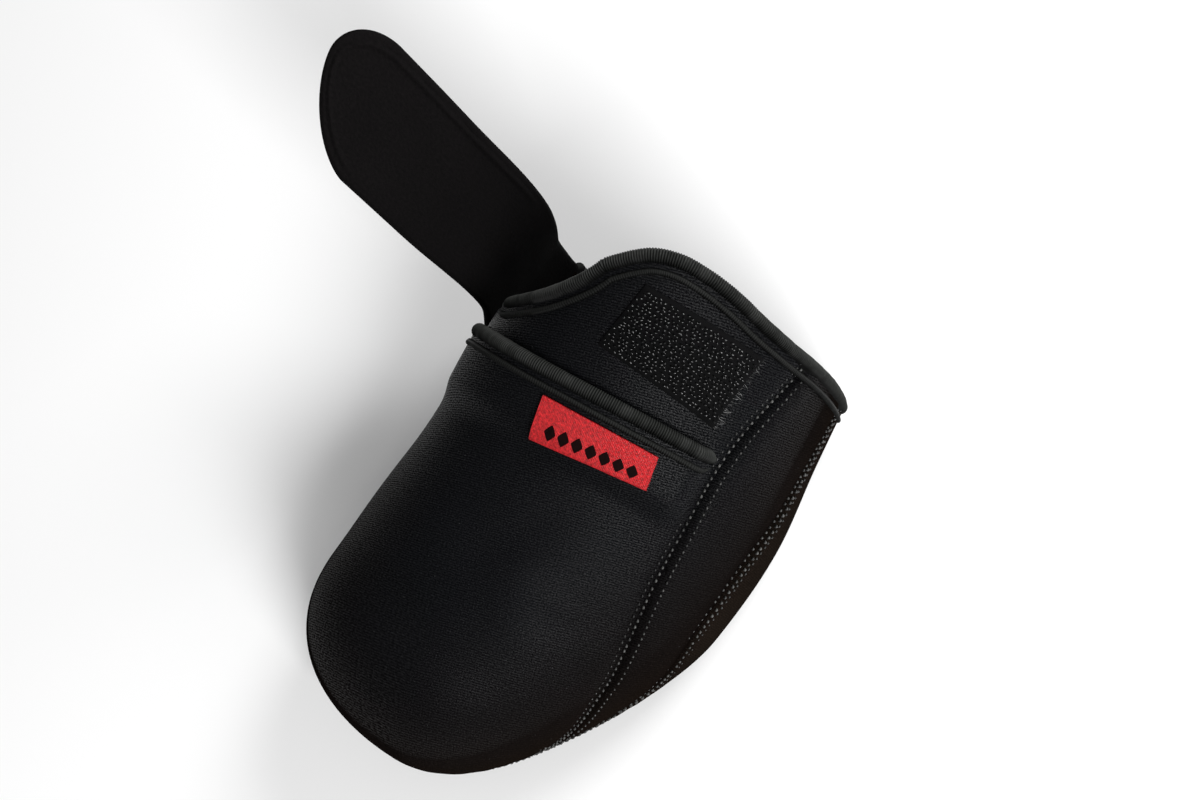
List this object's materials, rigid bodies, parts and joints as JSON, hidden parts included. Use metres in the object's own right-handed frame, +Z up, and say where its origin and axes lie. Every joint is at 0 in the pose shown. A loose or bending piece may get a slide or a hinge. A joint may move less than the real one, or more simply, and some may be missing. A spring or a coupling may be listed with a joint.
{
  "type": "cycling toe cover",
  "caption": "Left foam toe cover for a cycling shoe, with bound toe and instep panels, an open strap, a hook patch and a cleat opening.",
  "frame": {"origin": "on the floor, under the flat spot of the sole panel behind the toe spring", "axes": "+Z up, -Y towards the toe tip, +X towards the outer side of the foot"},
  "size_m": [0.1537, 0.1658, 0.097],
  "materials": {
    "foam": "knit-faced foam",
    "sole_foam": "coated foam",
    "webbing": "ribbed elastic",
    "loop": "brushed loop",
    "hooks": "hook tape",
    "satin": "woven satin"
  },
  "bodies": {
    "root": {"upper": "foam", "sole_panel": "sole_foam", "instep_panel": "foam", "strap": "foam", "strap_facing": "loop", "toe_binding": "webbing", "collar_binding": "webbing", "hook_patch": "hooks", "label": "satin"}
  },
  "joints": []
}
